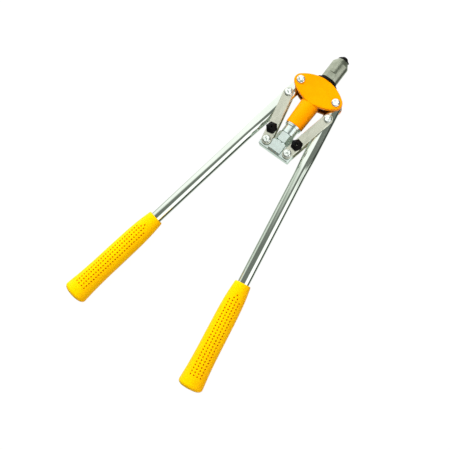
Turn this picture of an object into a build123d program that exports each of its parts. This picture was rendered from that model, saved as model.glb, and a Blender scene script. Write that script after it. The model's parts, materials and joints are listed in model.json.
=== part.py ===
from build123d import *

import os
from math import asin, cos, degrees, radians, sin, sqrt, tan

# A long-arm hand riveter, lying flat. Millimetres.
# Origin: the centre of the nosepiece's front face, on the pulling axis.
# +Y leaves the nose along the pulling axis, +X is the right-hand lever's side, and +Z is parallel to the
# pivot pins, upwards from the face on which the spare nosepieces are kept.

# ---- driving dimensions ----

# levers
PIVOT_X = 25.0  # each lever pivot stands this far from the pulling axis
PIVOT_Y = -55.0  # the pivot line
LEVER_ANGLE = 9.75  # half the angle between the levers, as modelled
LEVER_LENGTH = 368.0  # pivot to the butt of the grip
LEVER_CRANK = 20.0  # pivot to link pin, along the lever
TUBE_RADIUS = 7.0
TUBE_WALL = 1.8
TONGUE_WIDTH = 15.6  # the head end of the tube, pressed oval
TONGUE_THICKNESS = 11.0
TONGUE_END = 62.0  # the oval section ends here, measured from the pivot
TAPER_END = 84.0  # and the tube is round from here on
GRIP_LENGTH = 133.0
GRIP_BUTT_RADIUS = 15.1
BUTT_WALL = 5.0

# links and yoke
YOKE_PIN_X = 15.0
YOKE_PIN_Y = PIVOT_Y - 80.6
LINK_WIDTH = 12.0
LINK_THICKNESS = 2.8
SIDE_PLAY = 0.25  # between the faces of pieces that swing past each other
YOKE_FRONT = 6.6  # yoke faces, measured from its pin line
YOKE_REAR = 8.4
YOKE_SIDE = 6.2  # from each yoke pin to the end of its lug
YOKE_FRONT_CORNER = 5.0
YOKE_REAR_CORNER = 1.5
YOKE_EDGE = 0.6
YOKE_BOSS_WIDTH = 15.6
YOKE_BOSS_HALF_HEIGHT = 8.3
SPARE_ALONG_LINK = 14.8  # yoke pin to spare nosepiece

# head casting
FLANGE_HALF_HEIGHT = 12.4
FLANGE_END_RADIUS = 8.0
FLANGE_REACH = 17.0  # from the pivot line to the crown of each long arc
FLANGE_EDGE = 1.1
CORE_RADIUS = 12.2
CORE_FRONT_Y = PIVOT_Y + FLANGE_REACH + 0.1
BARREL_REAR_Y = PIVOT_Y - 48.0
BARREL_FRONT_RADIUS = 12.1
BARREL_REAR_RADIUS = 11.0
BORE_RADIUS = 8.9

# nose
NOSEPIECE_FLATS = 12.6
NOSEPIECE_HEX = 1.8
NOSEPIECE_CONE = 3.0
NOSEPIECE_TIP_RADIUS = 3.2
NOSEPIECE_THREAD_RADIUS = 4.0
NOSEPIECE_SHANK = 3.6
FITTED_BORE_RADIUS = 1.55
SPARE_BORE_RADII = {"left": 1.25, "right": 1.4}
SLEEVE_RADIUS = 10.6
SLEEVE_FRONT_RADIUS = 6.7
SLEEVE_CONE = 6.2
SLEEVE_REAR_Y = CORE_FRONT_Y + 4.3
SLEEVE_BORE_RADIUS = 7.7
SLEEVE_SHANK_RADIUS = 9.0
SLEEVE_SHANK_END_Y = -46.0
SLEEVE_FLAT_LENGTH = 8.0
SLEEVE_FLAT_HEIGHT = 9.6
COLLAR_RADIUS = 13.8
COLLAR_NECK_RADIUS = 10.2
COLLAR_NECK = 1.2
COLLAR_RIM = 0.9

# pulling assembly
ROD_RADIUS = 8.6
ROD_SPIGOT_RADIUS = 5.6
ROD_SPIGOT_FRONT_Y = -50.0
ROD_THREAD_RADIUS = 6.0
ROD_END_Y = YOKE_PIN_Y - 2.2
SLIDING_CLEARANCE = 0.08
BUSH_RADIUS = 9.7
BUSH_FRONT_Y = BARREL_REAR_Y + 12.0
BUSH_FLANGE_RADIUS = 10.4
BUSH_FLANGE = 3.0
STROKE_GAP = 10.2  # bare rod between the bush and the lock nut
WASHER_THICKNESS = 1.4
WASHER_RADIUS = 7.8
NUT_FLATS = 18.0
CASE_RADIUS = 7.4
CASE_FRONT_Y = -21.5
CASE_REAR_Y = -58.0
CASE_MOUTH_RADIUS = 2.6
JAW_CONE_ANGLE = 10.0
JAW_CONE_FRONT_RADIUS = 3.1
JAW_CONE_FRONT_Y = CASE_FRONT_Y - 1.0
JAW_FRONT_Y = -23.3
JAW_REAR_Y = -36.0
JAW_COUNT = 3
JAW_BORE_RADIUS = 1.0
JAW_PLAY = 0.15
PUSHER_HEAD = 3.0
PUSHER_STEM_RADIUS = 2.8
PUSHER_BORE_RADIUS = 2.2
PUSHER_REAR_Y = -53.5
SPRING_RADIUS = 4.3
SPRING_WIRE_RADIUS = 0.5
SPRING_TURNS = 5

# pins
PIVOT_PIN_RADIUS = 4.0
LINK_PIN_RADIUS = 3.0
PIN_HEAD_OVERHANG = 1.9
PIVOT_PIN_HEAD_RADIUS = 5.1
PIN_HEAD_HEIGHT = 2.0
PIN_TAIL = 1.9  # beyond the far plate, with the ring's groove in it
RING_THICKNESS = 0.9
RING_GROOVE_DEPTH = 0.6
RING_WALL = 1.9
PIVOT_BUSH_RADIUS = 5.2
RUNNING_CLEARANCE = 0.06
LINK_PIN_FREEDOM = 1.35  # radial play of each link pin in its lever, where the linkage is left open

# ---- worked out from them ----

HALF_TONGUE = TONGUE_THICKNESS / 2
LINK_INNER_Z = HALF_TONGUE + SIDE_PLAY
LINK_OUTER_Z = LINK_INNER_Z + LINK_THICKNESS
LINK_PIN_X = PIVOT_X + LEVER_CRANK * sin(radians(LEVER_ANGLE))
LINK_PIN_Y = PIVOT_Y - LEVER_CRANK * cos(radians(LEVER_ANGLE))
LINK_RUN_X = LINK_PIN_X - YOKE_PIN_X
LINK_LENGTH = sqrt(LINK_RUN_X**2 + (LINK_PIN_Y - YOKE_PIN_Y) ** 2)
LINK_ANGLE = degrees(asin(LINK_RUN_X / LINK_LENGTH))
YOKE_FRONT_Y = YOKE_PIN_Y + YOKE_FRONT
YOKE_REAR_Y = YOKE_PIN_Y - YOKE_REAR
NUT_REAR_Y = YOKE_FRONT_Y + WASHER_THICKNESS
NUT_FRONT_Y = BARREL_REAR_Y - BUSH_FLANGE - STROKE_GAP
NOSEPIECE_HEIGHT = NOSEPIECE_HEX + NOSEPIECE_CONE
JAW_CONE_SLOPE = tan(radians(JAW_CONE_ANGLE))


# ---- shapes used more than once ----


def disc_z(x, y, z_low, z_high, radius):
    """A cylinder along Z between two heights."""
    return Pos(x, y, (z_low + z_high) / 2) * Cylinder(radius, z_high - z_low)


def rod_y(y_rear, y_front, radius):
    """A cylinder on the pulling axis between two stations."""
    return Pos(0, (y_rear + y_front) / 2, 0) * Rot(90, 0, 0) * Cylinder(radius, y_front - y_rear)


def turned(*outline):
    """A body turned about the pulling axis from a closed outline of (radius, y) corners."""
    return revolve(make_face(Polyline(*outline, close=True)), Axis.Y)


def section_plane(y):
    """A plane across a lever that looks towards its grip, with its own Y along Z."""
    return Plane(origin=(0, y, 0), x_dir=(1, 0, 0), z_dir=(0, -1, 0))


def headed_pin(half_grip, radius, head_radius):
    """A domed pin along Z through plates of the given half height, grooved for a ring at its tail."""
    tail_z = -half_grip - PIN_TAIL
    groove_z = -half_grip - RING_THICKNESS
    shank = disc_z(0, 0, tail_z, half_grip, radius)
    head = disc_z(0, 0, half_grip, half_grip + PIN_HEAD_HEIGHT, head_radius)
    head = fillet(head.edges().group_by(Axis.Z)[-1], PIN_HEAD_HEIGHT * 0.7)
    shank = chamfer(shank.edges().group_by(Axis.Z)[0], 0.4)
    groove = disc_z(0, 0, groove_z, -half_grip, radius + 1)
    groove -= disc_z(0, 0, groove_z, -half_grip, radius - RING_GROOVE_DEPTH)
    return shank + head - groove


def retaining_ring(half_grip, radius):
    """The open ring that sits in a pin's groove."""
    low, high = -half_grip - RING_THICKNESS, -half_grip
    ring = disc_z(0, 0, low, high, radius + RING_WALL)
    ring -= disc_z(0, 0, low, high, radius - RING_GROOVE_DEPTH)
    mouth = Pos(0, -radius, (low + high) / 2) * Box(radius, 2 * radius, RING_THICKNESS)
    return ring - mouth


def nosepiece(bore_radius):
    """A hexagonal nosepiece along +Z that seats on z = 0, with its threaded shank below."""
    hexagon = extrude(RegularPolygon(NOSEPIECE_FLATS / 2, 6, major_radius=False), NOSEPIECE_HEX)
    tip = Pos(0, 0, NOSEPIECE_HEX + NOSEPIECE_CONE / 2) * Cone(
        NOSEPIECE_FLATS / 2 - 0.3, NOSEPIECE_TIP_RADIUS, NOSEPIECE_CONE
    )
    shank = disc_z(0, 0, -NOSEPIECE_SHANK, 0, NOSEPIECE_THREAD_RADIUS)
    return hexagon + tip + shank - disc_z(0, 0, -NOSEPIECE_SHANK, NOSEPIECE_HEIGHT, bore_radius)


def both_sides(shape, x, y):
    """A right-hand shape at (x, y) and its mirror image, as one group."""
    right = Pos(x, y, 0) * shape
    return Compound([right.solid(), mirror(right, Plane.YZ).solid()])


# ---- head ----


def flange_outline():
    """The lens of each clevis plate: two long arcs run tangent into a round end about each pivot."""
    reach, end = FLANGE_REACH, FLANGE_END_RADIUS
    radius = (PIVOT_X**2 + reach**2 - end**2) / (2 * (reach - end))
    centre = reach - radius
    long_arcs = Pos(0, centre) * Circle(radius) & Pos(0, -centre) * Circle(radius)
    tangent_x = PIVOT_X * radius / (radius - end)
    middle = long_arcs & Rectangle(2 * tangent_x, 4 * reach)
    ends = Pos(PIVOT_X, 0) * Circle(end) + Pos(-PIVOT_X, 0) * Circle(end)
    return Pos(0, PIVOT_Y) * (middle + ends)


def head_casting():
    """Two flange plates round the lever ends, joined by a core that runs back into the barrel."""
    plate_thickness = FLANGE_HALF_HEIGHT - LINK_INNER_Z
    plate = extrude(flange_outline(), plate_thickness)
    plate = fillet(plate.edges().group_by(Axis.Z)[-1], FLANGE_EDGE)
    plate = Pos(0, 0, LINK_INNER_Z) * plate
    barrel_front_y = PIVOT_Y - FLANGE_REACH / 2
    body = turned(
        (0, CORE_FRONT_Y),
        (CORE_RADIUS, CORE_FRONT_Y),
        (CORE_RADIUS, barrel_front_y),
        (BARREL_FRONT_RADIUS, barrel_front_y - 4),
        (BARREL_REAR_RADIUS, BARREL_REAR_Y + 0.8),
        (BARREL_REAR_RADIUS - 0.8, BARREL_REAR_Y),
        (0, BARREL_REAR_Y),
    )
    casting = body + plate + mirror(plate, Plane.XY)
    casting -= rod_y(SLEEVE_SHANK_END_Y, CORE_FRONT_Y, SLEEVE_SHANK_RADIUS + 0.05)
    casting -= rod_y(BARREL_REAR_Y, SLEEVE_SHANK_END_Y, BORE_RADIUS)
    casting -= rod_y(BARREL_REAR_Y, BUSH_FRONT_Y, BUSH_RADIUS)
    for x in (-PIVOT_X, PIVOT_X):
        casting -= disc_z(x, PIVOT_Y, -FLANGE_HALF_HEIGHT, FLANGE_HALF_HEIGHT, PIVOT_PIN_RADIUS)
    return casting


def nose_collar():
    """The lock ring between the nose sleeve and the head: a plain neck that flares out to a rim."""
    inner = SLEEVE_SHANK_RADIUS + 0.05
    return turned(
        (inner, SLEEVE_REAR_Y),
        (COLLAR_NECK_RADIUS - 0.4, SLEEVE_REAR_Y),
        (COLLAR_NECK_RADIUS, SLEEVE_REAR_Y - 0.4),
        (COLLAR_NECK_RADIUS, SLEEVE_REAR_Y - COLLAR_NECK),
        (COLLAR_RADIUS - 0.3, CORE_FRONT_Y + COLLAR_RIM + 0.3),
        (COLLAR_RADIUS, CORE_FRONT_Y + COLLAR_RIM),
        (COLLAR_RADIUS, CORE_FRONT_Y),
        (inner, CORE_FRONT_Y),
    )


def nose_sleeve():
    """The steel sleeve round the jaws, with a conical shoulder and two wrench flats."""
    front_y = -NOSEPIECE_HEIGHT
    cavity_y = front_y - NOSEPIECE_SHANK - 1.4
    sleeve = turned(
        (NOSEPIECE_THREAD_RADIUS, front_y),
        (SLEEVE_FRONT_RADIUS, front_y),
        (SLEEVE_RADIUS, front_y - SLEEVE_CONE),
        (SLEEVE_RADIUS, SLEEVE_REAR_Y),
        (SLEEVE_SHANK_RADIUS, SLEEVE_REAR_Y),
        (SLEEVE_SHANK_RADIUS, SLEEVE_SHANK_END_Y),
        (SLEEVE_BORE_RADIUS, SLEEVE_SHANK_END_Y),
        (SLEEVE_BORE_RADIUS, cavity_y - 3),
        (NOSEPIECE_THREAD_RADIUS, cavity_y),
    )
    flat_y = SLEEVE_REAR_Y + SLEEVE_FLAT_LENGTH / 2
    for side in (-1, 1):
        slab_z = side * (SLEEVE_FLAT_HEIGHT + SLEEVE_RADIUS)
        sleeve -= Pos(0, flat_y, slab_z) * Box(4 * SLEEVE_RADIUS, SLEEVE_FLAT_LENGTH, 2 * SLEEVE_RADIUS)
    return sleeve


def fitted_nosepiece():
    """The nosepiece in use, screwed into the sleeve with its tip at the origin."""
    return Pos(0, -NOSEPIECE_HEIGHT, 0) * Rot(-90, 0, 0) * nosepiece(FITTED_BORE_RADIUS)


def barrel_bush():
    """The guide bush pressed into the barrel's end, with a grooved flange outside it."""
    inner = ROD_RADIUS + SLIDING_CLEARANCE
    rear_y = BARREL_REAR_Y - BUSH_FLANGE
    return turned(
        (inner, BUSH_FRONT_Y),
        (BUSH_RADIUS - 0.02, BUSH_FRONT_Y),
        (BUSH_RADIUS - 0.02, BARREL_REAR_Y),
        (BUSH_FLANGE_RADIUS, BARREL_REAR_Y),
        (BUSH_FLANGE_RADIUS, BARREL_REAR_Y - 1.0),
        (BUSH_FLANGE_RADIUS - 0.8, BARREL_REAR_Y - 1.0),
        (BUSH_FLANGE_RADIUS - 0.8, BARREL_REAR_Y - 1.8),
        (BUSH_FLANGE_RADIUS - 0.2, BARREL_REAR_Y - 1.8),
        (BUSH_FLANGE_RADIUS - 0.2, rear_y + 0.3),
        (BUSH_FLANGE_RADIUS - 0.5, rear_y),
        (inner, rear_y),
    )


# ---- pulling assembly ----


def pull_rod():
    """The rod from the jaw case to the yoke, bored at its front for the jaw pusher's stem."""
    rod = turned(
        (0, ROD_SPIGOT_FRONT_Y),
        (ROD_SPIGOT_RADIUS, ROD_SPIGOT_FRONT_Y),
        (ROD_SPIGOT_RADIUS, CASE_REAR_Y),
        (ROD_RADIUS, CASE_REAR_Y),
        (ROD_RADIUS, NUT_FRONT_Y + 0.6),
        (ROD_THREAD_RADIUS, NUT_FRONT_Y),
        (ROD_THREAD_RADIUS, ROD_END_Y + 0.8),
        (ROD_THREAD_RADIUS - 0.8, ROD_END_Y),
        (0, ROD_END_Y),
    )
    return rod - rod_y(CASE_REAR_Y - 4, ROD_SPIGOT_FRONT_Y, PUSHER_STEM_RADIUS + 0.4)


def jaw_case():
    """The tube screwed on the rod, coned inside so that it closes the jaws as it is pulled."""
    cone_length = (ROD_SPIGOT_RADIUS - JAW_CONE_FRONT_RADIUS) / JAW_CONE_SLOPE
    return turned(
        (CASE_MOUTH_RADIUS, CASE_FRONT_Y),
        (CASE_RADIUS - 3, CASE_FRONT_Y),
        (CASE_RADIUS, CASE_FRONT_Y - 4),
        (CASE_RADIUS, CASE_REAR_Y),
        (ROD_SPIGOT_RADIUS, CASE_REAR_Y),
        (ROD_SPIGOT_RADIUS, JAW_CONE_FRONT_Y - cone_length),
        (JAW_CONE_FRONT_RADIUS, JAW_CONE_FRONT_Y),
        (CASE_MOUTH_RADIUS, JAW_CONE_FRONT_Y),
    )


def jaws():
    """Equal wedge jaws that fill the case's cone, parted by thin saw cuts."""
    front_radius = JAW_CONE_FRONT_RADIUS + (JAW_CONE_FRONT_Y - JAW_FRONT_Y) * JAW_CONE_SLOPE - JAW_PLAY
    rear_radius = JAW_CONE_FRONT_RADIUS + (JAW_CONE_FRONT_Y - JAW_REAR_Y) * JAW_CONE_SLOPE - JAW_PLAY
    plug = turned(
        (JAW_BORE_RADIUS, JAW_FRONT_Y),
        (front_radius, JAW_FRONT_Y),
        (rear_radius, JAW_REAR_Y),
        (JAW_BORE_RADIUS, JAW_REAR_Y),
    )
    for index in range(JAW_COUNT):
        cut = Pos(0, (JAW_FRONT_Y + JAW_REAR_Y) / 2, rear_radius) * Box(0.4, 20, 2 * rear_radius)
        plug -= Rot(0, index * 360 / JAW_COUNT, 0) * cut
    return Compound(list(plug.solids()))


def jaw_pusher():
    """The hollow pusher that the spring holds against the jaws."""
    head_y = JAW_REAR_Y - 0.2
    head_radius = ROD_SPIGOT_RADIUS - 0.3
    return turned(
        (PUSHER_BORE_RADIUS, head_y),
        (head_radius - 1.2, head_y),
        (head_radius, head_y - 0.8),
        (head_radius, head_y - PUSHER_HEAD),
        (PUSHER_STEM_RADIUS, head_y - PUSHER_HEAD),
        (PUSHER_STEM_RADIUS, PUSHER_REAR_Y),
        (PUSHER_BORE_RADIUS, PUSHER_REAR_Y),
    )


def jaw_spring():
    """The compression spring round the pusher's stem, between the pusher and the rod."""
    front_y = JAW_REAR_Y - 0.2 - PUSHER_HEAD - SPRING_WIRE_RADIUS - 0.05
    rear_y = ROD_SPIGOT_FRONT_Y + SPRING_WIRE_RADIUS + 0.05
    length = front_y - rear_y
    path = Helix(length / SPRING_TURNS, length, SPRING_RADIUS, center=(0, 0, 0), direction=(0, 0, 1))
    start = Plane(origin=path @ 0, z_dir=path % 0)
    coil = sweep(start * Circle(SPRING_WIRE_RADIUS), path=path)
    return Pos(0, rear_y, 0) * Rot(-90, 0, 0) * coil


def lock_nut():
    """The hexagon nut that locks the rod in the yoke, chamfered at both ends."""
    length = NUT_FRONT_Y - NUT_REAR_Y
    corner = NUT_FLATS / sqrt(3)
    hexagon = RegularPolygon(NUT_FLATS / 2, 6, major_radius=False)
    prism = Pos(0, NUT_REAR_Y, 0) * Rot(-90, 0, 0) * extrude(hexagon, length)
    envelope = turned(
        (0, NUT_FRONT_Y),
        (corner - 1.3, NUT_FRONT_Y),
        (corner, NUT_FRONT_Y - 0.8),
        (corner, NUT_REAR_Y + 0.8),
        (corner - 1.3, NUT_REAR_Y),
        (0, NUT_REAR_Y),
    )
    return (prism & envelope) - rod_y(NUT_REAR_Y, NUT_FRONT_Y, ROD_THREAD_RADIUS)


def lock_washer():
    """The washer between the lock nut and the yoke."""
    ring = rod_y(YOKE_FRONT_Y, NUT_REAR_Y, WASHER_RADIUS)
    return ring - rod_y(YOKE_FRONT_Y, NUT_REAR_Y, ROD_THREAD_RADIUS)


def yoke_block():
    """The cross block: a thick boss for the rod between two lugs that the links straddle."""
    depth = YOKE_FRONT + YOKE_REAR
    middle_y = (YOKE_FRONT_Y + YOKE_REAR_Y) / 2
    lugs = Box(2 * (YOKE_PIN_X + YOKE_SIDE), depth, TONGUE_THICKNESS)
    upright = lugs.edges().filter_by(Axis.Z).group_by(Axis.Y)
    lugs = fillet(upright[-1], YOKE_FRONT_CORNER)
    rear_corners = lugs.edges().filter_by(Axis.Z).group_by(Axis.Y)[0]
    lugs = Pos(0, middle_y, 0) * fillet(rear_corners, YOKE_REAR_CORNER)
    rims = lugs.edges().group_by(Axis.Z)
    lugs = chamfer(rims[0] + rims[-1], YOKE_EDGE)
    boss = Box(YOKE_BOSS_WIDTH, depth, 2 * YOKE_BOSS_HALF_HEIGHT)
    rear_edges = boss.edges().filter_by(Axis.X).group_by(Axis.Y)[0]
    boss = Pos(0, middle_y, 0) * chamfer(rear_edges, YOKE_BOSS_HALF_HEIGHT - HALF_TONGUE)
    yoke = lugs + boss - rod_y(ROD_END_Y - 0.5, YOKE_FRONT_Y, ROD_THREAD_RADIUS)
    for x in (-YOKE_PIN_X, YOKE_PIN_X):
        yoke -= disc_z(x, YOKE_PIN_Y, -HALF_TONGUE, HALF_TONGUE, LINK_PIN_RADIUS)
    return yoke


# ---- levers, built along -Y from their pivot ----


def lever_tube():
    """The lever: a round tube whose head end is pressed to an oval tongue with the two pin holes."""
    half_width = TONGUE_WIDTH / 2
    oval = Ellipse(half_width, HALF_TONGUE)
    oval_bar = extrude(section_plane(half_width) * oval, TONGUE_END + half_width)
    plan = Pos(0, -TONGUE_END / 2) * Rectangle(TONGUE_WIDTH, TONGUE_END) + Circle(half_width)
    tongue = oval_bar & extrude(plan, TONGUE_THICKNESS, both=True)
    taper = loft([section_plane(-TONGUE_END) * oval, section_plane(-TAPER_END) * Circle(TUBE_RADIUS)])
    tube_end_y = -LEVER_LENGTH + BUTT_WALL
    tube = rod_y(tube_end_y, -TAPER_END, TUBE_RADIUS)
    lever = tongue + taper + tube - rod_y(tube_end_y, -TAPER_END, TUBE_RADIUS - TUBE_WALL)
    lever -= disc_z(0, 0, -HALF_TONGUE, HALF_TONGUE, PIVOT_BUSH_RADIUS)
    link_hole = LINK_PIN_RADIUS + LINK_PIN_FREEDOM
    return lever - disc_z(0, -LEVER_CRANK, -HALF_TONGUE, HALF_TONGUE, link_hole)


def pivot_bush():
    """The bush pressed through the lever's tongue, which turns on the pivot pin."""
    inner = PIVOT_PIN_RADIUS + RUNNING_CLEARANCE
    bush = disc_z(0, 0, -HALF_TONGUE, HALF_TONGUE, PIVOT_BUSH_RADIUS)
    return bush - disc_z(0, 0, -HALF_TONGUE, HALF_TONGUE, inner)


def lever_grip():
    """The soft sleeve over the tube's end: slim at the front, swollen at its rounded butt."""
    front_y = -LEVER_LENGTH + GRIP_LENGTH
    butt_y = -LEVER_LENGTH
    tube_end_y = butt_y + BUTT_WALL
    profile = ((0, 9.7), (6, 10.5), (15, 11.5), (29, 12.4), (55, 12.9), (92, 13.2), (110, 13.8), (122.5, 14.7))
    stations = [(radius, front_y - along) for along, radius in profile]
    side = Spline(*stations, tangents=((0.5, -1), (0.1, -1)))
    rim = (GRIP_BUTT_RADIUS, butt_y + 5)
    turn = (GRIP_BUTT_RADIUS - 2.4, butt_y + 1.2)
    flat = (GRIP_BUTT_RADIUS / 2, butt_y)
    butt = Spline(side @ 1, rim, turn, flat, (0, butt_y), tangents=(side % 1, (-1, 0)))
    inside = Polyline((0, butt_y), (0, tube_end_y), (TUBE_RADIUS, tube_end_y), (TUBE_RADIUS, front_y))
    lip = Line((TUBE_RADIUS, front_y), side @ 0)
    return revolve(make_face([side, butt, inside, lip]), Axis.Y)


def placed_lever(shape):
    """A lever piece at the right-hand pivot, turned out from the pulling axis."""
    return Pos(PIVOT_X, PIVOT_Y, 0) * Rot(0, 0, LEVER_ANGLE) * shape


# ---- links, built along +Y from their yoke pin ----


def link_plate(holds_spare):
    """One flat link with round ends. The upper one is also drilled for the spare nosepiece."""
    plan = Pos(0, LINK_LENGTH / 2) * Rot(0, 0, 90) * SlotCenterToCenter(LINK_LENGTH, LINK_WIDTH)
    plate = extrude(plan, LINK_THICKNESS)
    plate = chamfer(plate.edges().group_by(Axis.Z)[-1], 0.35)
    plate -= disc_z(0, 0, 0, LINK_THICKNESS, LINK_PIN_RADIUS + RUNNING_CLEARANCE)
    plate -= disc_z(0, LINK_LENGTH, 0, LINK_THICKNESS, LINK_PIN_RADIUS)
    if holds_spare:
        plate -= disc_z(0, SPARE_ALONG_LINK, 0, LINK_THICKNESS, NOSEPIECE_THREAD_RADIUS)
    return Pos(0, 0, LINK_INNER_Z) * plate


def placed_link(shape):
    """A link piece at the right-hand yoke pin, leaning out to the lever."""
    return Pos(YOKE_PIN_X, YOKE_PIN_Y, 0) * Rot(0, 0, -LINK_ANGLE) * shape


# ---- every piece, by node ----

link_pin_head = LINK_PIN_RADIUS + PIN_HEAD_OVERHANG
pivot_pin = headed_pin(FLANGE_HALF_HEIGHT, PIVOT_PIN_RADIUS, PIVOT_PIN_HEAD_RADIUS)
pivot_ring = retaining_ring(FLANGE_HALF_HEIGHT, PIVOT_PIN_RADIUS)
link_pin = headed_pin(LINK_OUTER_Z, LINK_PIN_RADIUS, link_pin_head)
link_ring = retaining_ring(LINK_OUTER_Z, LINK_PIN_RADIUS)

nodes = {
    "head_casting": head_casting(),
    "nose_collar": nose_collar(),
    "nose_sleeve": nose_sleeve(),
    "fitted_nosepiece": fitted_nosepiece(),
    "barrel_bush": barrel_bush(),
    "pivot_pins": both_sides(pivot_pin, PIVOT_X, PIVOT_Y),
    "pivot_pin_rings": both_sides(pivot_ring, PIVOT_X, PIVOT_Y),
    "pull_rod": pull_rod(),
    "jaw_case": jaw_case(),
    "jaws": jaws(),
    "jaw_pusher": jaw_pusher(),
    "jaw_spring": jaw_spring(),
    "lock_nut": lock_nut(),
    "lock_washer": lock_washer(),
    "yoke_block": yoke_block(),
    "yoke_pins": both_sides(link_pin, YOKE_PIN_X, YOKE_PIN_Y),
    "yoke_pin_rings": both_sides(link_ring, YOKE_PIN_X, YOKE_PIN_Y),
}

upper_link = link_plate(holds_spare=True)
lower_link = mirror(link_plate(holds_spare=False), Plane.XY)
right_hand_pieces = {
    "lever_tube": placed_lever(lever_tube()),
    "lever_bush": placed_lever(pivot_bush()),
    "grip": placed_lever(lever_grip()),
    "upper_link": placed_link(upper_link),
    "lower_link": placed_link(lower_link),
    "link_pin": placed_link(Pos(0, LINK_LENGTH, 0) * link_pin),
    "link_pin_ring": placed_link(Pos(0, LINK_LENGTH, 0) * link_ring),
}
for side in ("left", "right"):
    spare = Pos(0, SPARE_ALONG_LINK, LINK_OUTER_Z) * nosepiece(SPARE_BORE_RADII[side])
    pieces = dict(right_hand_pieces, spare_nosepiece=placed_link(spare))
    for name, shape in pieces.items():
        nodes[f"{side}_{name}"] = mirror(shape, Plane.YZ) if side == "left" else shape

os.makedirs("parts", exist_ok=True)
for name, shape in nodes.items():
    export_step(shape, f"parts/{name}.step")
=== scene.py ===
import json
from math import atan2, cos, pi, radians, sin

import bmesh
import bpy
import numpy as np
from mathutils import Matrix, Vector


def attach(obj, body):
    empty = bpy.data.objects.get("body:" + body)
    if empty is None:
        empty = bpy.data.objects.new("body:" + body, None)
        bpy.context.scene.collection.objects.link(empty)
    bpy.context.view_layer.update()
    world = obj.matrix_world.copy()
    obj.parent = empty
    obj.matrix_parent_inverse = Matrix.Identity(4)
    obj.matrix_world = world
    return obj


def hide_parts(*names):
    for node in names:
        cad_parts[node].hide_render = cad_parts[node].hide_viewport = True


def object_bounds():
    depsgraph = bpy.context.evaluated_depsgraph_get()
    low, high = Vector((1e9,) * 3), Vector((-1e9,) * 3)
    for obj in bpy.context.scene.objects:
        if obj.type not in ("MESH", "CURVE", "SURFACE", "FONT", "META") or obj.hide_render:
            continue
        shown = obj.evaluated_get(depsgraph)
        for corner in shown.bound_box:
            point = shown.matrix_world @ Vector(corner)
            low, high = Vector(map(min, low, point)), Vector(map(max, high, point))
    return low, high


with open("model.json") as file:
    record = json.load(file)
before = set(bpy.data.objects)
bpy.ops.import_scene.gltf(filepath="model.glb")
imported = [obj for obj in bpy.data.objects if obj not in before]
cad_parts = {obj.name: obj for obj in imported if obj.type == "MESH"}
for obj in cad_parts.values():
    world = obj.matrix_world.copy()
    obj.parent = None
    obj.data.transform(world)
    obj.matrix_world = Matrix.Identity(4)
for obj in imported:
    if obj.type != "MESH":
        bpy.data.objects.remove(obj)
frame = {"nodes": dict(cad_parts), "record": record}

# A long-arm hand riveter. Metres, in the CAD frame: +Y leaves the nose, +X is the right lever's side.
CAD_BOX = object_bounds()
MM = 0.001
JOINTS = {j["name"]: j for j in frame["record"]["behaviour"]["joints"]}
SIDES = (("left", -1), ("right", 1))
LEVER_ANGLE = radians(9.75)
LINK_ANGLE = radians(12.4)

# ---- materials ----


def linear(red, green, blue):
    """A colour given in 0 to 255 display values, as the linear value that shaders take."""
    shares = [channel / 255 for channel in (red, green, blue)]
    return tuple(((s + 0.055) / 1.055) ** 2.4 if s > 0.04 else s / 12.92 for s in shares)


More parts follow.
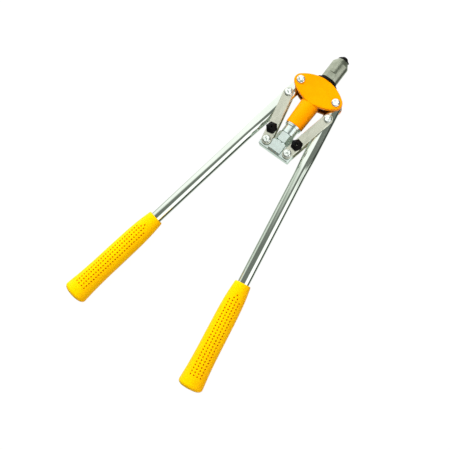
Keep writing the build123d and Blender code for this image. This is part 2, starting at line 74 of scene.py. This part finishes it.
class Finish:
    """A procedural material while its nodes are being joined up."""

    def __init__(self, name, **settings):
        self.material = bpy.data.materials.new(name)
        self.material.use_nodes = True
        self.tree = self.material.node_tree
        self.shader = next(n for n in self.tree.nodes if n.type == "BSDF_PRINCIPLED")
        for socket, value in settings.items():
            self.shader.inputs[socket.replace("_", " ")].default_value = value
        self.position = self.node("ShaderNodeTexCoord").outputs["Object"]

    def node(self, kind, **values):
        """A new node with its properties set."""
        made = self.tree.nodes.new(kind)
        for key, value in values.items():
            setattr(made, key, value)
        return made

    def link(self, output, socket):
        self.tree.links.new(output, socket)

    def along(self, turn, stretch):
        """Coordinates turned about Z by an angle, then scaled along each axis."""
        rotate = self.node("ShaderNodeVectorRotate", rotation_type="Z_AXIS")
        rotate.inputs["Angle"].default_value = turn
        self.link(self.position, rotate.inputs["Vector"])
        scale = self.node("ShaderNodeMapping")
        scale.inputs["Scale"].default_value = stretch
        self.link(rotate.outputs["Vector"], scale.inputs["Vector"])
        return scale.outputs["Vector"]

    def noise(self, scale, detail=2.0, rough=0.5, position=None):
        """Noise with about this many features to the metre."""
        made = self.node("ShaderNodeTexNoise")
        made.inputs["Scale"].default_value = scale
        made.inputs["Detail"].default_value = detail
        made.inputs["Roughness"].default_value = rough
        self.link(position or self.position, made.inputs["Vector"])
        return made.outputs["Fac"]

    def spread(self, value, low, high, start=0.3, end=0.7):
        """A value between start and end carried over to low and high."""
        made = self.node("ShaderNodeMapRange")
        for socket, number in (("From Min", start), ("From Max", end), ("To Min", low), ("To Max", high)):
            made.inputs[socket].default_value = number
        self.link(value, made.inputs["Value"])
        return made.outputs["Result"]

    def ramp(self, value, *stops):
        """Colours by value, from pairs of position and colour."""
        made = self.node("ShaderNodeValToRGB")
        elements = made.color_ramp.elements
        while len(elements) < len(stops):
            elements.new(0.5)
        for element, (place, colour) in zip(elements, stops):
            element.position = place
            element.color = (*colour, 1)
        self.link(value, made.inputs["Fac"])
        return made.outputs["Color"]

    def mix(self, factor, first, second):
        """The second colour over the first by a factor output. A colour is an output or a plain tuple."""
        made = self.node("ShaderNodeMix", data_type="RGBA")
        self.link(factor, made.inputs["Factor"])
        for socket, colour in ((made.inputs[6], first), (made.inputs[7], second)):
            if isinstance(colour, tuple):
                socket.default_value = (*colour, 1)
            else:
                self.link(colour, socket)
        return made.outputs[2]

    def bump(self, height, depth, below=None):
        """Relief of the given depth in metres, over what is below it."""
        made = self.node("ShaderNodeBump")
        made.inputs["Strength"].default_value = 1.0
        made.inputs["Distance"].default_value = depth
        self.link(height, made.inputs["Height"])
        if below:
            self.link(below, made.inputs["Normal"])
        return made.outputs["Normal"]

    def done(self, colour, roughness, normal):
        """The finished material, with its colour, roughness and relief joined to the shader."""
        for output, socket in ((colour, "Base Color"), (roughness, "Roughness"), (normal, "Normal")):
            self.link(output, self.shader.inputs[socket])
        return self.material


def cast_paint():
    """Amber stoving enamel over a die casting, thin and rubbed on the sharpest edges, with painted shade in
    the pocket between its plates.
    """
    f = Finish("cast_paint", Specular_IOR_Level=0.2, Specular_Tint=(1.0, 0.6, 0.02, 1))
    tone = f.ramp(f.noise(45, 3), (0.35, linear(255, 152, 0)), (0.65, linear(255, 162, 0)))
    edge = f.node("ShaderNodeNewGeometry").outputs["Pointiness"]
    rubbed = f.spread(edge, 0.0, 0.55, start=0.56, end=0.66)
    tone = f.mix(rubbed, tone, linear(255, 190, 20))
    # painted shade: the point attribute darkens the pocket between the plates towards red-brown
    painted_shade = f.node("ShaderNodeAttribute", attribute_name="painted_shade").outputs["Fac"]
    tone = f.mix(painted_shade, tone, linear(132, 58, 0))
    peel = f.bump(f.noise(750, 1), 0.02 * MM)
    grain = f.bump(f.noise(4200, 2), 0.006 * MM, below=peel)
    return f.done(tone, f.spread(f.noise(300), 0.38, 0.52), grain)


def grip_vinyl():
    """Soft yellow PVC with a fine moulded grain, and painted shade in its dimples."""
    f = Finish(
        "grip_vinyl",
        Subsurface_Weight=0.12,
        Subsurface_Radius=(1.0, 0.5, 0.1),
        Subsurface_Scale=1.2 * MM,
        Specular_IOR_Level=0.3,
        Specular_Tint=(1.0, 0.7, 0.02, 1),
    )
    tone = f.ramp(f.noise(30, 3), (0.3, linear(255, 199, 0)), (0.7, linear(255, 209, 0)))
    # painted shade: the point attribute darkens the dimples towards deep orange
    painted_shade = f.node("ShaderNodeAttribute", attribute_name="painted_shade").outputs["Fac"]
    tone = f.mix(painted_shade, tone, linear(188, 92, 0))
    grain = f.bump(f.noise(2600, 3, 0.6), 0.007 * MM)
    return f.done(tone, f.spread(f.noise(180), 0.42, 0.56), grain)


def chrome(name, turn):
    """Polished chrome plate with faint drawn lines along the lever."""
    f = Finish(name, Metallic=1.0)
    lines = f.noise(2.0, 4, 0.6, f.along(turn, (900, 25, 900)))
    tone = f.ramp(f.noise(25, 3), (0.3, linear(224, 231, 222)), (0.7, linear(236, 241, 234)))
    return f.done(tone, f.spread(lines, 0.05, 0.12), f.bump(lines, 0.0015 * MM))


def brushed(name, turn):
    """Flat steel plate, brushed along its length and passivated to a warm grey."""
    f = Finish(name, Metallic=1.0, Anisotropic=0.5)
    lines = f.noise(2.0, 5, 0.7, f.along(turn, (1500, 40, 1500)))
    tone = f.ramp(lines, (0.3, linear(208, 208, 190)), (0.7, linear(252, 252, 236)))
    return f.done(tone, f.spread(lines, 0.26, 0.4), f.bump(lines, 0.006 * MM))


def zinc_plate():
    """Bright zinc plating, slightly blue-green, with soft mottling."""
    f = Finish("zinc_plate", Metallic=1.0)
    mottle = f.noise(400, 4, 0.6)
    tone = f.ramp(mottle, (0.3, linear(226, 242, 238)), (0.7, linear(246, 255, 252)))
    fine = f.bump(f.noise(2600, 3), 0.006 * MM)
    return f.done(tone, f.spread(mottle, 0.2, 0.36), fine)


def bright_pins():
    """Bright steel pin heads, with the grey dents and scuffs of the riveting tool."""
    f = Finish("bright_pins", Metallic=1.0)
    scuffs = f.noise(1300, 4, 0.7)
    dents = f.noise(380, 2)
    tone = f.ramp(dents, (0.39, linear(160, 172, 164)), (0.47, linear(250, 253, 250)))
    shallow = f.bump(dents, 0.15 * MM)
    return f.done(tone, f.spread(scuffs, 0.05, 0.16), f.bump(scuffs, 0.004 * MM, below=shallow))


def nose_steel():
    """Turned tool steel: fine feed lines round the nose and a grey-green temper."""
    f = Finish("nose_steel", Metallic=1.0)
    feed = f.noise(2.0, 3, 0.6, f.along(0, (30, 2600, 30)))
    tone = f.ramp(f.noise(120, 4), (0.3, linear(156, 161, 143)), (0.7, linear(194, 199, 181)))
    return f.done(tone, f.spread(feed, 0.26, 0.42), f.bump(feed, 0.006 * MM))


def black_oxide():
    """Oiled black oxide on steel."""
    f = Finish("black_oxide", Specular_IOR_Level=0.09)
    tone = f.ramp(f.noise(700, 4), (0.3, linear(7, 7, 7)), (0.75, linear(16, 16, 16)))
    return f.done(tone, f.spread(f.noise(500, 3), 0.4, 0.6), f.bump(f.noise(3000, 3), 0.01 * MM))


def spring_steel():
    """Dark blued spring steel."""
    f = Finish("spring_steel", Metallic=1.0)
    tone = f.ramp(f.noise(600, 3), (0.3, linear(58, 60, 62)), (0.7, linear(92, 94, 94)))
    return f.done(tone, f.spread(f.noise(900, 3), 0.25, 0.4), f.bump(f.noise(2500, 2), 0.006 * MM))


FINISHES = {
    "cast_paint": cast_paint(),
    "grip_vinyl": grip_vinyl(),
    "zinc_plate": zinc_plate(),
    "bright_pins": bright_pins(),
    "nose_steel": nose_steel(),
    "black_oxide": black_oxide(),
    "spring_steel": spring_steel(),
}
for side, sign in SIDES:
    FINISHES[side, "chrome_tube"] = chrome(f"chrome_tube_{side}", -sign * LEVER_ANGLE)
    FINISHES[side, "brushed_link"] = brushed(f"brushed_link_{side}", sign * LINK_ANGLE)

for name, node in frame["nodes"].items():
    for slot in node.material_slots:
        finish = slot.material.name.split(".")[0]
        slot.material = FINISHES.get(finish) or FINISHES[name.split("_")[0], finish]

# ---- new pieces ----


def add_piece(name, vertices, faces, finish, body, node, painted_shade=None):
    """A smooth mesh piece that rides on a body in place of a CAD node, with a painted shade value for each
    point.
    """
    mesh = bpy.data.meshes.new(name)
    mesh.from_pydata([tuple(v) for v in vertices], [], faces)
    mesh.shade_smooth()
    mesh.materials.append(FINISHES[finish])
    if painted_shade is not None:
        mesh.attributes.new("painted_shade", "FLOAT", "POINT").data.foreach_set("value", painted_shade)
    piece = bpy.data.objects.new(name, mesh)
    bpy.context.scene.collection.objects.link(piece)
    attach(piece, body)
    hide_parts(node)
    return piece


# ---- grips, in millimetres from the front of the grip and from its axis ----

GRIP_LENGTH = 133.0
LEVER_LENGTH = 368.0
GRIP_BORE, MOUTH_DEPTH, MOUTH_CHAMFER = 7.02, 3.0, 0.3
GRIP_PROFILE = (
    (0.0, 9.2), (0.25, 9.5), (0.8, 9.75), (6, 10.5), (15, 11.5), (29, 12.4),
    (55, 12.9), (92, 13.2), (110, 13.8), (122.5, 14.6), (128, 14.95),
)
LIP_END = 0.8  # the end of the front edge's rounding
BUTT_START, BUTT_RADIUS = GRIP_PROFILE[-1]
BUTT_FLAT_RADIUS = 7.6
DIMPLE_PITCH = 3.74
DIMPLE_ROW_GAP = 4.45
DIMPLE_RADIUS = 1.1
DIMPLE_DEPTH = 1.0
DIMPLE_ROUNDING = 0.8  # the bowl's shape as a power: 1 is a parabola and 0.5 is half a ball
DIMPLE_FIRST = 22.8  # the first dimple of the outer rows
DIMPLES_IN_ROW = 26
DIMPLE_SHADE = 1.4  # how fast the painted shade in the dimples grows with depth
FIELD_START = DIMPLE_FIRST - 8
FIELD_HALF_ANGLE = radians(55)
FIELD_RADIUS = 13  # about the grip's radius under the field
FIELD_TURN = {"left": radians(-2), "right": radians(9)}
FINE_STEP = 0.3
SEAM_START, SEAM_HEIGHT, SEAM_WIDTH = 1, 0.12, 0.5
BAR_STATIONS = (120.6, 123.6, 126.6)
BAR_LENGTH, BAR_WIDTH, BAR_HEIGHT, BAR_EDGE = 4.4, 0.9, 0.3, 0.5


def smooth_curve(points, stations):
    """A smooth curve through points, without overshoot, at the given stations."""
    x, y = np.array(points, float).T
    slope = np.diff(y) / np.diff(x)
    tangent = np.concatenate([slope[:1], (slope[1:] + slope[:-1]) / 2, slope[-1:]])
    i = np.clip(np.searchsorted(x, stations, side="right") - 1, 0, len(slope) - 1)
    width = x[i + 1] - x[i]
    t = (stations - x[i]) / width
    return (
        y[i] * (1 + 2 * t) * (1 - t) ** 2 + width * tangent[i] * t * (1 - t) ** 2
        + y[i + 1] * t**2 * (3 - 2 * t) + width * tangent[i + 1] * t**2 * (t - 1)
    )


def grip_outline():
    """Stations and radii from the bore's mouth, over the side and round the butt to its centre."""
    side = np.concatenate([
        np.linspace(0, LIP_END, 6)[:-1],
        np.linspace(LIP_END, FIELD_START, 16)[:-1],
        np.arange(FIELD_START, BUTT_START, FINE_STEP),
    ])
    turn = np.linspace(0, pi / 2, 14)
    stations = np.concatenate([
        [MOUTH_DEPTH, 0.25, 0.0],
        side,
        BUTT_START + (GRIP_LENGTH - BUTT_START) * np.sin(turn),
        [GRIP_LENGTH] * 3,
    ])
    radii = np.concatenate([
        [GRIP_BORE, GRIP_BORE, GRIP_BORE + MOUTH_CHAMFER],
        smooth_curve(GRIP_PROFILE, side),
        BUTT_FLAT_RADIUS + (BUTT_RADIUS - BUTT_FLAT_RADIUS) * np.cos(turn),
        [BUTT_FLAT_RADIUS * 0.66, BUTT_FLAT_RADIUS * 0.33, 0.02],
    ])
    return stations, radii


def grip_angles():
    """Angles round the grip, close together over the two dimpled fields."""
    count = int(2 * FIELD_HALF_ANGLE * FIELD_RADIUS / FINE_STEP)
    field = np.linspace(-FIELD_HALF_ANGLE, FIELD_HALF_ANGLE, count)
    rest = np.linspace(FIELD_HALF_ANGLE, pi - FIELD_HALF_ANGLE, 14)[1:-1]
    return np.concatenate([field, rest, field + pi, rest + pi])


def dimple_centres():
    """Stations and offsets of one field: four rows, the inner pair one longer, and one more at the point."""
    centres = [(DIMPLE_FIRST - 2 * DIMPLE_PITCH, 0.0)]
    for row, first in ((-1.5, 0), (-0.5, -1), (0.5, -1), (1.5, 0)):
        for k in range(first, DIMPLES_IN_ROW):
            centres.append((DIMPLE_FIRST + k * DIMPLE_PITCH, row * DIMPLE_ROW_GAP))
    return centres


def grip_relief(station, angle, radius):
    """How far the moulded relief stands out of the plain outline."""
    relief = np.zeros_like(radius)
    for half_turn in (0, pi):
        across = (np.remainder(angle - half_turn + pi, 2 * pi) - pi) * radius
        for place, offset in dimple_centres():
            near = ((station - place) ** 2 + (across - offset) ** 2) / DIMPLE_RADIUS**2
            relief -= DIMPLE_DEPTH * np.clip(1 - near, 0, 1) ** DIMPLE_ROUNDING
        for place in BAR_STATIONS:
            outside = np.maximum(abs(station - place) - BAR_WIDTH / 2, abs(across) - BAR_LENGTH / 2)
            relief += BAR_HEIGHT * np.clip(0.5 - outside / BAR_EDGE, 0, 1)
    seam = abs(np.remainder(angle, pi) - pi / 2) * radius
    on_side = (station > SEAM_START) & (station < BUTT_START)
    return relief + SEAM_HEIGHT * np.clip(1 - seam / SEAM_WIDTH, 0, 1) * on_side


def make_grip(side, sign):
    """A grip with its moulded relief. Its dimples also get a painted shade that darkens with depth."""
    stations, radii = grip_outline()
    angles = grip_angles()
    station, angle = np.meshgrid(stations, angles, indexing="ij")
    radius = np.repeat(radii[:, None], len(angles), axis=1)
    outside = radius > GRIP_BORE + MOUTH_CHAMFER
    relief = grip_relief(station, angle, radius) * outside
    radius = radius + relief
    # painted shade: the deeper a point lies in a dimple, the more of the darker colour it gets
    painted_shade = np.clip(-relief / DIMPLE_DEPTH * DIMPLE_SHADE, 0, 1).ravel()
    turned = angle + sign * FIELD_TURN[side]
    local = np.stack([
        radius * np.sin(turned), GRIP_LENGTH - LEVER_LENGTH - station, radius * np.cos(turned),
    ], axis=-1).reshape(-1, 3) * MM
    pivot = Vector(JOINTS[f"{side}_lever_pivot"]["pos_m"])
    place = Matrix.Translation(pivot) @ Matrix.Rotation(sign * LEVER_ANGLE, 4, "Z")
    vertices = local @ np.array(place.to_3x3()).T + np.array(pivot)
    rows, columns = len(stations), len(angles)
    faces = []
    for i in range(rows - 1):
        for j in range(columns):
            k = (j + 1) % columns
            faces.append((i * columns + j, i * columns + k, (i + 1) * columns + k, (i + 1) * columns + j))
    faces.append(tuple((rows - 1) * columns + j for j in range(columns)))
    lever, grip = f"{side}_lever", f"{side}_grip"
    add_piece(f"{side}_grip_skin", vertices, faces, "grip_vinyl", lever, grip, painted_shade=painted_shade)


for side, sign in SIDES:
    make_grip(side, sign)

# ---- casting, with the cast fillets and soft edges that the CAD solid leaves out ----

VOXEL = 0.42 * MM
FILLET_CORNER = (12.1 * MM, -15.4 * MM)  # where a plate meets the barrel: from the axis, and from the pivots
FILLET_REACH, FILLET_SPREAD = 4.5 * MM, 1.4
FILLET_LOWEST = 3 * MM  # points nearer than this to the middle plane keep their corners
FILLET_STRENGTH, FILLET_PASSES = 0.5, 60
# where the painted shade between the plates lies, and how softly it fades at its edges and towards the tail
POCKET_HALF_HEIGHT, POCKET_EDGE = 6.6 * MM, 0.5 * MM
POCKET_TAIL, POCKET_TAIL_FADE = -17.5 * MM, 1.5 * MM


def make_casting():
    """The casting remeshed and softened, more so where its plates meet the barrel, with a painted shade
    marked in the pocket between its plates.
    """
    source = frame["nodes"]["head_casting"]
    copy = bpy.data.objects.new("casting_source", source.data.copy())
    bpy.context.scene.collection.objects.link(copy)
    remesh = copy.modifiers.new("remesh", "REMESH")
    remesh.mode = "VOXEL"
    remesh.voxel_size = VOXEL
    copy.modifiers.new("soften", "SMOOTH").iterations = 3
    mesh = copy.evaluated_get(bpy.context.evaluated_depsgraph_get()).to_mesh()
    vertices = np.empty(len(mesh.vertices) * 3)
    mesh.vertices.foreach_get("co", vertices)
    vertices = vertices.reshape(-1, 3)
    edges = np.array([e.vertices[:] for e in mesh.edges])
    faces = [tuple(p.vertices) for p in mesh.polygons]
    pivot_y = JOINTS["left_lever_pivot"]["pos_m"][1]
    from_pivots = vertices[:, 1] - pivot_y
    away = np.hypot(abs(vertices[:, 0]) - FILLET_CORNER[0], from_pivots - FILLET_CORNER[1])
    outer = abs(vertices[:, 2]) > FILLET_LOWEST
    weight = np.clip(FILLET_SPREAD - away / FILLET_REACH, 0, 1) * outer
    weight = weight[:, None] * FILLET_STRENGTH
    count = np.bincount(edges.ravel(), minlength=len(vertices))[:, None]
    for _ in range(FILLET_PASSES):
        total = np.zeros_like(vertices)
        np.add.at(total, edges[:, 0], vertices[edges[:, 1]])
        np.add.at(total, edges[:, 1], vertices[edges[:, 0]])
        vertices = vertices + (total / count - vertices) * weight
    bpy.data.objects.remove(copy)
    # painted shade: points between the plates, short of the tail, get the darker colour
    pocket_shade = np.clip((POCKET_HALF_HEIGHT - abs(vertices[:, 2])) / POCKET_EDGE, 0, 1)
    pocket_shade *= np.clip((vertices[:, 1] - pivot_y - POCKET_TAIL) / POCKET_TAIL_FADE, 0, 1)
    add_piece("casting_skin", vertices, faces, "cast_paint", "head", "head_casting", painted_shade=pocket_shade)


make_casting()

# ---- lever tubes, in millimetres from the pivot ----

OVAL_HALF_WIDTH, OVAL_HALF_HEIGHT, TUBE_RADIUS = 7.8, 5.5, 7.0
SKIN_START, TUBE_END = 26.0, 363.0
WIDTH_BLEND, HEIGHT_BLEND = (64, 98), (46, 86)  # where the oval turns into the round tube
SKIN_STATIONS = (SKIN_START, 36, *range(44, 101, 2), 150, 200, 250, 300, 350, TUBE_END)
SKIN_SIDES = 72
SAME_POINT = 0.001 * MM
SHARP_ANGLE = radians(40)


def ease(start, end, value):
    """A smooth step from 0 at the start to 1 at the end."""
    t = np.clip((value - start) / (end - start), 0, 1)
    return t * t * (3 - 2 * t)


def make_tube(side, sign):
    """A lever's tube: its tongue as in the CAD, then an oval blended smoothly into the round tube."""
    pivot = np.array(JOINTS[f"{side}_lever_pivot"]["pos_m"])
    axis = np.array((sign * sin(LEVER_ANGLE), -cos(LEVER_ANGLE), 0.0))
    across_lever = np.array((cos(LEVER_ANGLE), sign * sin(LEVER_ANGLE), 0.0))
    bm = bmesh.new()
    bm.from_mesh(frame["nodes"][f"{side}_lever_tube"].data)
    bmesh.ops.remove_doubles(bm, verts=bm.verts, dist=SAME_POINT)
    cut = pivot + axis * SKIN_START * MM
    everything = [*bm.verts, *bm.edges, *bm.faces]
    bmesh.ops.bisect_plane(bm, geom=everything, plane_co=cut, plane_no=axis, clear_outer=True)
    rings = []
    for station in SKIN_STATIONS:
        width = OVAL_HALF_WIDTH + (TUBE_RADIUS - OVAL_HALF_WIDTH) * ease(*WIDTH_BLEND, station)
        height = OVAL_HALF_HEIGHT + (TUBE_RADIUS - OVAL_HALF_HEIGHT) * ease(*HEIGHT_BLEND, station)
        ring = []
        for step in range(SKIN_SIDES):
            turn = 2 * pi * step / SKIN_SIDES
            point = pivot + (axis * station + across_lever * width * cos(turn)) * MM
            ring.append(bm.verts.new(point + np.array((0, 0, height * sin(turn) * MM))))
        rings.append(ring)
    for first, second in zip(rings, rings[1:]):
        for step in range(SKIN_SIDES):
            after = (step + 1) % SKIN_SIDES
            bm.faces.new((first[step], first[after], second[after], second[step]))
    bm.faces.new(rings[-1])
    bmesh.ops.recalc_face_normals(bm, faces=bm.faces)
    vertices = [v.co.copy() for v in bm.verts]
    bm.verts.index_update()
    faces = [tuple(v.index for v in f.verts) for f in bm.faces]
    bm.free()
    lever = f"{side}_lever"
    skin = add_piece(f"{side}_tube_skin", vertices, faces, (side, "chrome_tube"), lever, f"{lever}_tube")
    skin.data.set_sharp_from_angle(angle=SHARP_ANGLE)


for side, sign in SIDES:
    make_tube(side, sign)

# ---- floor, light and camera ----

VIEW_AZIMUTH, VIEW_ELEVATION, VIEW_ROLL = radians(71.04), radians(78.41), radians(-33.99)
VIEW_DISTANCE = 0.845
VIEW_TARGET = Vector((0.0064, -0.2450, 0.0))
SENSOR_WIDTH, LENS = 36, 58

level_ahead = Vector((-sin(VIEW_AZIMUTH), cos(VIEW_AZIMUTH), 0))
ahead = level_ahead * cos(VIEW_ELEVATION) - Vector((0, 0, sin(VIEW_ELEVATION)))
flat_right = Vector((cos(VIEW_AZIMUTH), sin(VIEW_AZIMUTH), 0))
flat_up = flat_right.cross(ahead)
right = flat_right * cos(VIEW_ROLL) + flat_up * sin(VIEW_ROLL)
up = flat_up * cos(VIEW_ROLL) - flat_right * sin(VIEW_ROLL)
back = -ahead

camera = bpy.data.objects.new("camera", bpy.data.cameras.new("camera"))
camera.data.sensor_width = SENSOR_WIDTH
camera.data.lens = LENS
camera.data.clip_start = 0.01
view_turn = Matrix((right, up, back)).transposed().to_4x4()
camera.matrix_world = Matrix.Translation(VIEW_TARGET + back * VIEW_DISTANCE) @ view_turn
bpy.context.scene.collection.objects.link(camera)
bpy.context.scene.camera = camera

# the floor glows evenly and takes a faint shadow, and reflections and bounced light pass it by
FLOOR_HALF = 3.0
FLOOR_GLOW = 0.985
floor_mesh = bpy.data.meshes.new("floor")
floor_height = CAD_BOX[0][2]
floor_signs = ((-1, -1), (1, -1), (1, 1), (-1, 1))
floor_corners = [(x * FLOOR_HALF, y * FLOOR_HALF, floor_height) for x, y in floor_signs]
floor_mesh.from_pydata(floor_corners, [], [(0, 1, 2, 3)])
floor = bpy.data.objects.new("floor", floor_mesh)
floor_finish = Finish("floor", Roughness=0.9, Specular_IOR_Level=0.0, Base_Color=(0.04, 0.04, 0.04, 1))
floor_finish.shader.inputs["Emission Color"].default_value = (1, 1, 1, 1)
floor_finish.shader.inputs["Emission Strength"].default_value = FLOOR_GLOW
floor_mesh.materials.append(floor_finish.material)
bpy.context.scene.collection.objects.link(floor)
floor.visible_glossy = False
floor.visible_diffuse = False

# across the levers to the upper left, and along them towards the grips, as the camera sees them
across = (up * 0.6 - right * 0.8).normalized()
down = (-up * 0.8 - right * 0.6).normalized()


def area_light(name, across_angle, down_angle, distance, size, power, colour):
    """A square light that faces the object from two angles in degrees off the camera's direction."""
    a, d = radians(across_angle), radians(down_angle)
    direction = (back * cos(a) * cos(d) + across * sin(a) + down * sin(d)).normalized()
    light = bpy.data.lights.new(name, "AREA")
    light.size = size
    light.energy = power
    light.color = colour
    lamp = bpy.data.objects.new(name, light)
    turn = direction.to_track_quat("Z", "Y").to_matrix().to_4x4()
    lamp.matrix_world = Matrix.Translation(VIEW_TARGET + direction * distance) @ turn
    bpy.context.scene.collection.objects.link(lamp)
    lamp.visible_camera = False
    lamp.visible_glossy = False


area_light("key", across_angle=46, down_angle=-20, distance=1.3, size=1.1, power=20.5, colour=(1, 1, 1))
area_light("fill", across_angle=-62, down_angle=0, distance=1.6, size=1.6, power=9.5, colour=(1, 0.3, 0.05))

# ---- the studio's reflections: soft areas that depend on a ray's direction alone ----

REFLECTION_STRENGTH = 1.35

world = bpy.data.worlds.new("studio")
world.use_nodes = True
bpy.context.scene.world = world
nodes, links = world.node_tree.nodes, world.node_tree.links
direction = nodes.new("ShaderNodeTexCoord").outputs["Generated"]


def plug(socket, value):
    """A link where the value is a socket, and a plain default otherwise."""
    if isinstance(value, bpy.types.NodeSocket):
        links.new(value, socket)
    else:
        socket.default_value = value


def reach(axis):
    """How far the direction of a ray leans along an axis."""
    node = nodes.new("ShaderNodeVectorMath")
    node.operation = "DOT_PRODUCT"
    links.new(direction, node.inputs[0])
    node.inputs[1].default_value = axis
    return node.outputs["Value"]


def fade(value, start, end, low=0.0, high=1.0):
    """A soft step from low at the start to high at the end."""
    node = nodes.new("ShaderNodeMapRange")
    node.interpolation_type = "SMOOTHSTEP"
    for socket, amount in zip(node.inputs, (value, start, end, low, high)):
        plug(socket, amount)
    return node.outputs["Result"]


def combine(operation, first, second):
    """The result of one arithmetic node."""
    node = nodes.new("ShaderNodeMath")
    node.operation = operation
    plug(node.inputs[0], first)
    plug(node.inputs[1], second)
    return node.outputs["Value"]


lean_across, lean_down, lean_up = reach(across), reach(down), reach(back)
# overhead: bright to the upper left, and dim there towards the grips
lean_past = combine("SUBTRACT", lean_down, combine("MULTIPLY", lean_across, 0.18))
overhead = combine("MULTIPLY", fade(lean_across, 0.14, 0.26), fade(lean_past, -0.34, -0.2, 0.88, 0.14))
# card: white to the lower right, above the floor and short of the nose's side
card = combine("MULTIPLY", fade(lean_across, -0.3, -0.42), fade(lean_up, 0.0, 0.2))
card = combine("MULTIPLY", card, fade(lean_down, -0.42, -0.34))
# room: dim, darkest far to the lower right, and lighter far to the upper left and below
room = combine("MAXIMUM", fade(lean_across, -0.75, -0.9, 0.15, 0.03), fade(lean_across, 0.85, 0.98, 0.0, 0.6))
room = combine("MAXIMUM", room, fade(lean_up, -0.4, -0.8, 0.0, 0.5))
glow = combine("MAXIMUM", combine("MAXIMUM", overhead, card), room)

# half-lit areas are slightly green
tint = nodes.new("ShaderNodeValToRGB")
links.new(glow, tint.inputs["Fac"])
stops = tint.color_ramp.elements
stops.new(0.55)
for stop, shade in zip(stops, ((0.0, 0.0, 0.0), (0.52, 0.57, 0.51), (1.0, 1.0, 1.0))):
    stop.color = (*shade, 1)
background = nodes["Background"]
background.inputs["Strength"].default_value = REFLECTION_STRENGTH
links.new(tint.outputs["Color"], background.inputs["Color"])

# past the floor's edge the camera sees plain white
plain = nodes.new("ShaderNodeBackground")
plain.inputs["Color"].default_value = (1, 1, 1, 1)
path = nodes.new("ShaderNodeLightPath")
choose = nodes.new("ShaderNodeMixShader")
links.new(path.outputs["Is Camera Ray"], choose.inputs["Fac"])
links.new(background.outputs[0], choose.inputs[1])
links.new(plain.outputs[0], choose.inputs[2])
links.new(choose.outputs[0], nodes["World Output"].inputs["Surface"])

bpy.context.scene.view_settings.view_transform = "Standard"
